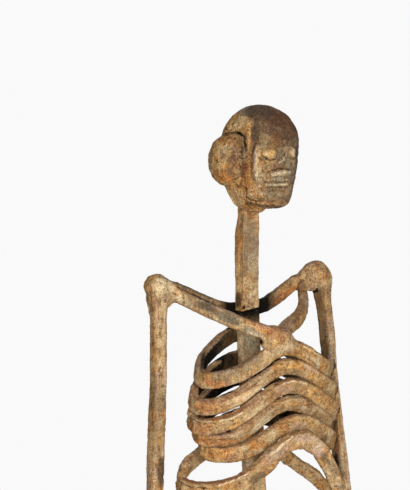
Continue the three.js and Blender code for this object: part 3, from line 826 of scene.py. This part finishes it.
# Where the shoulders, arms and ribs are fuller or leaner than their solids: millimetres and an oval
SHOULDER_SHAPE = (
    (1.2, 158, 275, 16, 5), (1.4, 168, 279, 12, 5, 25), (-2.0, 146, 298, 5, 18), (-2.0, 172, 304, 5, 5),
    (0.9, 167, 370, 3, 75), (-0.6, 150, 340, 3, 50), (0.9, 148, 445, 3, 45), (0.8, 164, 450, 3, 45),
    (-1.0, 205, 316, 22, 4, 24), (1.0, 312, 263, 14, 5, -10), (-2.4, 331, 277, 4, 10),
    (1.0, 333.5, 318, 3, 28, -4), (-1.4, 289, 322, 11, 4, -35), (-2.4, 307, 346, 16, 5, 30),
    (-1.2, 280, 301, 18, 4, -38), (0.8, 275, 290, 22, 4, -35),
)
RIB_SHAPE = {
    2: ((0.6, 189, 390, 4, 8),),
    3: ((-2.4, 187, 423, 5, 8), (1.6, 186.5, 410, 3, 6)),
    4: ((-2.6, 191, 434, 5, 8),),
    5: ((-1.5, 195, 444, 5, 6),),
    6: (
        (2.6, 274, 471, 12, 5, -38), (1.0, 180, 466, 5, 14, 30), (-2.6, 176, 486, 4, 7),
        (2.0, 311, 462, 5, 18, -32), (1.8, 275, 474, 12, 5, -38),
    ),
}


# Where the welds of the right knob, the left knob and the breastbone have flowed
SHOULDER_MELTS = (
    ((-122, 14, 972), 30, 14),
    ((122, 14, 972), 34, 14),
    ((-13, -80, 914), 38, 34),
)

# How far out the shoulder bars end and the knobs start. The bars' upper faces get more painted shade
# than the knobs'.
KNOB_START = (0.11, 0.095)
KNOB_UPPER_SHADE = 0.2
BAR_UPPER_SHADE = 0.6

# Painted shade inside the top rib: its strength, and the height that it reaches
TOP_RIB_SHADE = (0.95, 0.93)


def make_shoulders():
    nodes = ("shoulder_yoke", "rib_1", "right_arm", "left_arm")
    welds = [lump(*weld) for weld in SHOULDER_WELDS]
    skin = fused(solids_of(*nodes) + welds, SHOULDER_MESH)
    skin.soften(2, SWELL)
    for melt in SHOULDER_MELTS:
        skin.melt(*melt)
    reshape(skin, SHOULDER_SEED + 5, SHOULDER_SHAPE)
    forge(skin, SHOULDER_SEED)
    between_knobs = step_between(*KNOB_START, np.abs(skin.points[:, 0]))
    weather(skin, SHOULDER_SEED, upper_shade_amount=KNOB_UPPER_SHADE + (BAR_UPPER_SHADE - KNOB_UPPER_SHADE) * between_knobs)
    shade_inside(skin, *TOP_RIB_SHADE)
    shade_back_bar(skin)
    mark_shoulders(skin)
    finish_piece(skin, "shoulders_arms_and_top_rib", "forged_iron", *nodes)


# Painted shade in the depth of the chest, and rust on the back bar, on what stands behind the chest's
# middle
DEPTH_PATCHES = {
    "rust": ((0.9, 286, 296, 14, 5, -38),),
    "red": ((0.5, 280, 299, 12, 6, -38),),
    "shade_and_soot": (
        (1.8, 208, 365, 17, 13, -30), (0.8, 223, 360, 14, 7, -10), (1.1, 214, 389, 24, 10, -10),
        (0.8, 246, 379, 22, 8, -25), (0.8, 268, 426, 26, 8, -30), (0.8, 294, 415, 14, 6),
        (0.8, 204, 415, 14, 5),
    ),
}


def before_chest(skin):
    """1 on what is nearer to the photograph's camera than the chest's middle."""
    return skin.photo_place()[1] < CHEST_DEPTH


# Stains of the shoulder bars, the right arm and the top rib, and then of the left arm, with painted light:
# the bright marks and the pink line round the top rib's end are painted highlights, and the near-black
# spots and lines in the seams, in the hole, inside the rim, under the top rib, below the left knob and
# beside the rib ends on the left arm are painted shade.
SHOULDER_PATCHES = {
    "gold": ((0.5, 280, 340, 8, 8), (0.3, 156, 441, 8, 10), (0.8, 304, 348, 8, 5, 30)),
    "pale": (
        (0.9, 164, 288, 9, 13), (0.3, 152, 288, 5, 6), (0.5, 175, 294, 8, 6, 30), (1.0, 322, 268, 3, 4),
        (0.5, 161, 325, 6, 48), (0.4, 163, 372, 4, 18), (0.7, 311, 358, 8, 4, 28),
    ),
    "pink": ((0.4, 316, 280, 8, 6),),
    "rust": (
        (0.4, 151, 290, 4, 6), (0.8, 268, 329, 7, 4, 20), (0.5, 273, 334, 7, 5), (0.4, 281, 341, 5, 5),
        (0.5, 153, 416, 5, 10), (0.6, 216, 383.5, 10, 3.5, 8),
    ),
    "red": (
        (0.5, 259, 324, 8, 3, 20), (0.5, 286, 333, 7, 6), (0.5, 276, 333, 10, 6), (0.6, 314, 271, 9, 8),
        (0.3, 216, 383.5, 12, 4, 8),
    ),
    "grey": (
        (0.9, 205, 306, 10, 4, 25), (0.6, 189, 302, 9, 7, 25), (1.0, 228, 318, 14, 5, 25),
        (0.9, 251, 332, 10, 4, 25), (0.3, 237, 369, 28, 5, -26), (0.5, 322, 366, 7, 5, 30),
    ),
    "dark": (
        (0.7, 208, 307, 9, 3.5, 25), (0.35, 228, 318, 14, 5, 25), (0.5, 158, 403, 10, 10),
        (0.3, 156, 420, 9, 40), (0.9, 161, 473, 3.5, 16), (0.3, 237, 369, 28, 5, -26),
        (0.3, 203, 356, 4, 17, 32),
    ),
    "bright": (
        (0.35, 166, 286, 7, 9), (0.35, 284, 349, 14, 5, -20), (0.4, 253, 335, 6, 3, 25),
        (0.6, 331, 366, 3, 4), (0.7, 322, 268, 3, 4), (0.6, 322, 366, 6, 4, 30),
    ),
    "shade_and_soot": ((0.9, 261.5, 341.5, 2, 2.4), (0.8, 202.8, 361, 2.4, 9, 8)),
}
SHOULDER_LINES = {
    "pale": ((0.7, 4.5, (178, 299), (200, 310), (225, 322), (250, 333)),),
    "pink": ((0.7, 1.6, (330, 364), (329, 371), (326, 375)),),
    "rust": ((0.5, 2, (152, 308), (153.5, 345)), (0.5, 2, (157, 330), (156.5, 378))),
    "grey": ((1.0, 6, (165, 277), (190, 288.5), (222, 303)),),
    "dark": ((0.6, 6, (165, 277), (190, 288.5), (222, 303)),),
    "bright": ((0.9, 1.6, (304, 346.5), (314, 352), (325, 358.5)),),
    "shade_and_soot": (
        (0.8, 2.2, (177.5, 288), (196, 296), (216, 305.5)),
        (0.7, 1.6, (154, 293.7), (157, 299), (160, 305.3)),
        (0.6, 1.6, (300, 353.5), (314, 363), (328, 373.5)),
    ),
}
LEFT_ARM_PATCHES = {
    "gold": ((0.7, 322, 312, 2.5, 12),),
    "pale": ((0.5, 312, 275, 9, 9), (0.6, 344, 486, 5, 8)),
    "rust": ((0.8, 329, 329, 2.5, 6), (1.0, 337, 445, 3, 14), (0.5, 320, 276, 7, 7)),
    "red": ((0.6, 311, 268, 8, 8),),
    "grey": ((0.6, 331, 340, 4, 24), (0.5, 314, 284, 8, 5)),
    "dark": ((0.6, 305, 270, 4, 8), (0.25, 331, 300, 3, 16), (0.4, 333, 374, 3, 12)),
    "bright": ((0.2, 341.5, 460, 2.4, 14),),
    "shade_and_soot": (
        (1.0, 314, 290, 4, 3), (0.25, 324, 350, 5, 12), (0.6, 329, 378, 3, 5), (0.6, 333, 399, 3, 6),
        (0.4, 335.5, 427, 2.5, 9), (0.8, 335.5, 463, 2.6, 10),
    ),
}
LEFT_ARM_LINES = {
    "pink": ((0.6, 3, (336, 350), (341, 405), (346, 450), (350, 490)),),
    "dark": ((0.6, 3, (306, 262), (316, 258), (326, 263)),),
    "shade_and_soot": (
        (0.9, 1.8, (334.6, 360), (334.6, 368), (331, 376)),
        (0.9, 1.8, (338.4, 383), (337, 391), (334, 397)), (0.8, 1.8, (340.2, 407), (336, 417)),
        (0.7, 1.8, (336, 422), (333.5, 430)), (0.8, 1.8, (338.6, 436), (334, 448)),
    ),
}


# How far out the left arm starts, how high the painted shade on its inner side reaches, which way that
# side looks, and how dark it is
LEFT_ARM_START = (0.112, 0.118)
BELOW_KNOB = (0.975, 0.96)
INNER_SIDE = (-0.3, -0.7)
INNER_DARKNESS = 0.55


def mark_shoulders(skin):
    """Lays the stains and painted light of the shoulders, arms and top rib where the photograph has them.
    """
    mark(skin, Tracing(skin, SHOULDER_SEED + 6, before_chest(skin)), SHOULDER_PATCHES, SHOULDER_LINES)
    mark(skin, Tracing(skin, SHOULDER_SEED + 8, ~before_chest(skin)), DEPTH_PATCHES)
    left_arm = step_between(*LEFT_ARM_START, skin.points[:, 0])
    mark(skin, Tracing(skin, SHOULDER_SEED + 7, left_arm), LEFT_ARM_PATCHES, LEFT_ARM_LINES)
    side = left_arm * step_between(*BELOW_KNOB, skin.points[:, 2])
    # Painted shade on the left arm's inner side
    skin.stain("dark", INNER_DARKNESS * side * step_between(*INNER_SIDE, skin.normals()[:, 0]))


# Stains of the other ribs, by their numbers, with painted light: the bright marks are painted highlights,
# and the red and dark lines along the upper faces, and the near-black lines below them, are painted shade
RIB_PATCHES = {
    2: {
        "gold": (
            (0.4, 222, 408, 12, 4, -5), (1.0, 246, 397, 16, 4, -28), (0.9, 290, 364, 14, 5),
            (0.8, 315, 378, 10, 5, 38),
        ),
        "pale": ((0.4, 287, 361, 6, 3),),
        "rust": ((0.7, 204, 408, 10, 4, 10), (0.4, 300, 368, 8, 4, 20)),
        "red": ((0.4, 212, 409, 20, 5, 0),),
        "bright": ((0.8, 327, 385, 7, 4, 35), (0.4, 240, 400, 12, 5, -25), (0.7, 252, 394, 14, 4, -28)),
    },
    3: {
        "gold": (
            (0.9, 236, 424, 10, 4, -25), (1.0, 252, 414, 12, 4, -33), (1.0, 313, 394, 8, 5, 40),
            (0.7, 322, 402, 7, 5, 40),
        ),
        "pale": ((0.6, 263, 407, 10, 4, -35), (0.7, 332, 410, 4, 5)),
        "pink": ((0.35, 284, 389, 9, 5, -10),),
        "rust": ((0.4, 200, 428, 14, 5), (0.5, 318, 399, 3, 3)),
        "red": ((0.35, 200, 428, 16, 6), (0.3, 277, 392, 8, 4, -30), (0.3, 301, 389, 5, 4)),
        "bright": ((0.8, 331, 405, 7, 5, 35), (0.5, 252, 414, 12, 4, -33)),
    },
    4: {
        "gold": ((0.7, 290, 404, 12, 4),),
        "pale": ((0.5, 238, 435, 10, 4, -18), (0.7, 306, 410, 9, 3.5, 20)),
        "rust": ((0.7, 212, 441, 20, 5, 3),),
        "red": ((0.3, 216, 442, 18, 4, 3), (0.6, 310, 405, 4, 3)),
        "grey": ((0.3, 290, 397, 14, 1.8), (0.6, 325, 421, 7, 4, 30)),
        "dark": ((0.5, 215, 434, 9, 2.5),),
        "bright": ((0.8, 262, 424, 12, 4, -40),),
    },
    5: {
        "gold": ((1.0, 222, 452, 22, 7), (0.6, 306, 422, 10, 5)),
        "pale": ((0.7, 240, 452, 9, 5, -8), (0.4, 260, 452, 6, 4), (0.5, 270, 437, 10, 4, -38)),
        "pink": ((0.3, 300, 426, 8, 4),),
        "rust": ((0.55, 222, 453, 20, 6, 3), (0.6, 257, 445, 7, 5, -20), (0.5, 283, 423, 10, 4, -35)),
        "red": ((0.4, 211, 455, 3, 4),),
        "dark": ((0.6, 326, 440, 4, 6, 30),),
        "bright": ((1.1, 333, 436, 5, 8),),
    },
    6: {
        "gold": ((0.6, 298, 442, 6, 3),),
        "pale": ((0.5, 192, 458, 7, 14, 40),),
        "pink": ((0.4, 277, 454, 18, 5, -42), (0.5, 303, 439, 13, 4), (0.6, 318, 450, 7, 6, 55)),
        "grey": ((0.6, 331, 467, 4, 6), (0.8, 341, 487, 4, 4)),
        "dark": ((0.6, 325, 459, 6, 4, 60), (0.4, 335, 474, 4, 5), (0.7, 258, 478, 9, 5, -30)),
        "bright": ((0.4, 338, 481, 3, 5),),
    },
}
RIB_LINES = {
    2: {
        "pink": ((0.7, 3, (305, 365), (318, 373), (330, 383)),),
        "red": ((0.8, 5, (194, 397), (204, 403), (220, 402), (236, 395), (256, 384)),),
    },
    3: {
        "red": ((0.6, 5, (194, 412), (203, 418), (220, 419), (240, 411), (262, 398)),),
        "dark": ((0.7, 3, (275, 385), (283, 380), (294, 378), (305, 379.5), (315, 386)),),
        "bright": (
            (1.0, 1.8, (220, 421), (231, 419), (242, 413)),
            (1.0, 1.8, (283, 384), (291, 381.5), (297, 381)), (0.9, 1.8, (301, 382), (307, 385)),
        ),
        "shade_and_soot": ((0.6, 1.5, (190, 418), (200, 422.5), (216, 423.5)),),
    },
    4: {
        "dark": ((0.5, 2, (300, 413), (318, 418), (326, 424)),),
        "shade_and_soot": ((0.5, 1.4, (206, 439.5), (220, 440), (232, 438)),),
    },
    5: {
        "shade_and_soot": ((0.5, 1.4, (208, 447), (222, 447.5), (232, 446)),),
    },
    6: {
        "red": ((0.7, 5, (183, 479), (200, 484), (220, 483), (240, 477), (250, 471)),),
        "bright": (
            (1.0, 1.8, (218, 486), (232, 481), (248, 474)),
            (1.0, 1.8, (272, 455.5), (283, 444), (293, 436.5)),
        ),
        "shade_and_soot": ((0.7, 1.6, (178, 481), (190, 487), (206, 488)),),
    },
}


def chest_offset(skin):
    """How far each point is from the chest's upright line, and how much it faces that line."""
    offset = skin.points[:, :2] - np.array(CHEST_AXIS)[:2]
    reach = np.linalg.norm(offset, axis=1)
    return reach, -(skin.normals()[:, :2] * offset).sum(1) / np.maximum(reach, MM)


# Painted shade inside the hoops: how far from the chest's line it can be, how softly it ends at its top,
# how squarely a face has to look inward to take it, how far to the figure's right it thickens, and its
# share of full thickness elsewhere
INNER_SHADE_REACH = 0.12
INNER_SHADE_RIM = 0.006
INNER_SHADE_INWARD = (0.25, 0.7)
INNER_SHADE_SIDE = (-0.02, -0.065)
INNER_SHADE_THIN = 0.7


def shade_inside(skin, amount, top):
    """Painted shade on the inward faces of a hoop below the height top, thickest on the figure's right."""
    reach, inward = chest_offset(skin)
    below = step_between(top + INNER_SHADE_RIM, top - INNER_SHADE_RIM, skin.points[:, 2]) * (reach < INNER_SHADE_REACH)
    thickness = INNER_SHADE_THIN + (1 - INNER_SHADE_THIN) * step_between(*INNER_SHADE_SIDE, skin.points[:, 0])
    skin.stain("shade_and_soot", amount * thickness * below * step_between(*INNER_SHADE_INWARD, inward))


# Painted shade on the back bar behind the neck: its middle, how far to each side it ends and is whole,
# and the bar's front and foot
BACK_BAR_MIDDLE = 6 * MM
BACK_BAR_SHADE = (58 * MM, 26 * MM)
BACK_BAR_FRONT = SET_BACK + 5 * MM
BACK_BAR_FOOT = 0.92


def shade_back_bar(skin):
    """Painted shade on the back bar where it passes behind the neck."""
    x, y, z = skin.points.T
    behind_neck = (y > BACK_BAR_FRONT) * (z > BACK_BAR_FOOT)
    skin.stain("shade_and_soot", behind_neck * step_between(*BACK_BAR_SHADE, np.abs(x - BACK_BAR_MIDDLE)))


# Painted shade inside each rib, the height that it may reach, how much painted shade darkens the ribs'
# upper faces, and the width that their softened edges are given back
RIB_INNER_SHADE = {2: 0.95, 3: 0.95, 4: 0.9, 5: 0.3, 6: 0.1}
RIB_SOOT_TOP = 1.0
RIB_UPPER_SHADE = 0.45
RIB_SWELL = 0.6 * SWELL


def make_rib(number):
    node = f"rib_{number}"
    seed = RIB_SEED + 10 * number
    skin = fused(solids_of(node), RIB_MESH)
    skin.soften(1, RIB_SWELL)
    reshape(skin, RIB_MARK_SEED + 10 + number, RIB_SHAPE[number])
    forge(skin, seed)
    weather(skin, seed, hoop=True, upper_shade_amount=RIB_UPPER_SHADE)
    shade_inside(skin, RIB_INNER_SHADE[number], RIB_SOOT_TOP)
    near = Tracing(skin, RIB_MARK_SEED + number, before_chest(skin))
    mark(skin, near, RIB_PATCHES[number], RIB_LINES[number])
    mark(skin, Tracing(skin, RIB_MARK_SEED + 20 + number, ~before_chest(skin)), DEPTH_PATCHES)
    finish_piece(skin, f"{node}_forged", "forged_iron", node)


# Stains of the spine, between the ribs. The bright patches and the strong gold on its middle are painted
# light where the breastbone shades it.
SPINE_PATCHES = {
    "gold": ((1.8, 249, 352, 15, 20), (1.0, 253, 350, 8, 17)),
    "pale": ((0.6, 240, 348, 4, 20),),
    "rust": ((0.8, 249, 352, 12, 14),),
    "grey": ((0.5, 256, 478, 6, 8),),
    "dark": ((0.7, 254, 361, 5, 6), (0.6, 260, 460, 8, 14)),
    "bright": ((0.6, 247, 348, 11, 14), (1.6, 251, 344, 6, 8)),
}


# Painted shadow at the top of the spine, behind the foot of the neck bar: its strength, and the heights
# between which it sets in
SPINE_SHADOW = 0.9
SPINE_SHADOW_HEIGHT = (0.912, 0.942)


def worked_bar(node, seed, mesh_width):
    """The skin of a plain bar, hammered and weathered."""
    skin = fused(solids_of(node), mesh_width)
    skin.soften(2, SWELL)
    forge(skin, seed)
    weather(skin, seed)
    return skin


def make_spine():
    skin = worked_bar("spine", SPINE_SEED, SPINE_MESH)
    skin.stain("shade_and_soot", SPINE_SHADOW * step_between(*SPINE_SHADOW_HEIGHT, skin.points[:, 2]))
    mark(skin, Tracing(skin, SPINE_SEED + 6), SPINE_PATCHES)
    finish_piece(skin, "spine_forged", "forged_iron", "spine")


def make_lower_piece(node, seed, mesh_width=LOWER_MESH, slot="forged_iron"):
    finish_piece(worked_bar(node, seed, mesh_width), f"{node}_forged", slot, node)


FLOOR_RADIUS = 2.0
FLOOR_DROP = 0.5 * MM
FLOOR_CLOUDS = 0.4


def make_floor():
    finish = Finish("pale_floor")
    tone = finish.blend(linear("#dcdad6"), linear("#e6e4e0"), finish.noise(FLOOR_CLOUDS, 2.0))
    finish.feed(finish.shader.inputs["Base Color"], tone)
    finish.shader.inputs["Roughness"].default_value = 0.9
    body = bmesh.new()
    bmesh.ops.create_circle(body, cap_ends=True, segments=96, radius=FLOOR_RADIUS)
    mesh = bpy.data.meshes.new("floor")
    body.to_mesh(mesh)
    body.free()
    mesh.materials.append(finish.material)
    floor = bpy.data.objects.new("floor", mesh)
    floor.location = (0, 0, -FLOOR_DROP)
    bpy.context.scene.collection.objects.link(floor)


# How bright the surround is to the eye, and how strongly it lights the iron
SKY_SEEN = 0.95
SKY_LIGHT = 0.15


def make_sky():
    """A white surround for the eye, and a dimmer one for the light that falls on the iron."""
    world = bpy.data.worlds.new("studio")
    bpy.context.scene.world = world
    sky = Nodes(world)
    seen = sky.node("ShaderNodeBackground", {}, (SKY_SEEN, SKY_SEEN, SKY_SEEN, 1))
    lighting = sky.node("ShaderNodeBackground", {}, (1, 1, 1, 1), SKY_LIGHT)
    camera_ray = sky.node("ShaderNodeLightPath", {})
    mixed = sky.node("ShaderNodeMixShader", {}, camera_ray, lighting, seen)
    sky.feed(sky.tree.nodes["World Output"].inputs["Surface"], mixed)


# Soft lights: name, turn and height in degrees, distance, width and power. They aim at the chest.
LIGHTS = (
    ("key", -10, 10, 2.6, 1.2, 36),
    ("side", -80, 14, 2.8, 1.3, 9),
    ("front", -36, 3, 3.0, 1.8, 55),
    ("rear", 150, 35, 3.0, 1.8, 24),
)
LIT_HEIGHT = 0.95


def make_light(name, azimuth, elevation, distance, width, power):
    data = bpy.data.lights.new(name, "AREA")
    data.shape = "DISK"
    data.size = width
    data.energy = power
    light = bpy.data.objects.new(name, data)
    back = backward(math.radians(azimuth), math.radians(elevation))
    light.location = Vector((0, SET_BACK, LIT_HEIGHT)) + distance * back
    light.rotation_euler = back.to_track_quat("Z", "Y").to_euler()
    bpy.context.scene.collection.objects.link(light)


make_camera()
make_sky()
for light in LIGHTS:
    make_light(*light)
make_floor()

make_head()
make_shoulders()
make_spine()
for number in RIB_INNER_SHADE:
    make_rib(number)
for node, seed in LOWER_SEEDS.items():
    make_lower_piece(node, seed)
make_lower_piece("base_plate", BASE_SEED, BASE_MESH, "base_iron")

bpy.context.scene.view_settings.view_transform = "Standard"
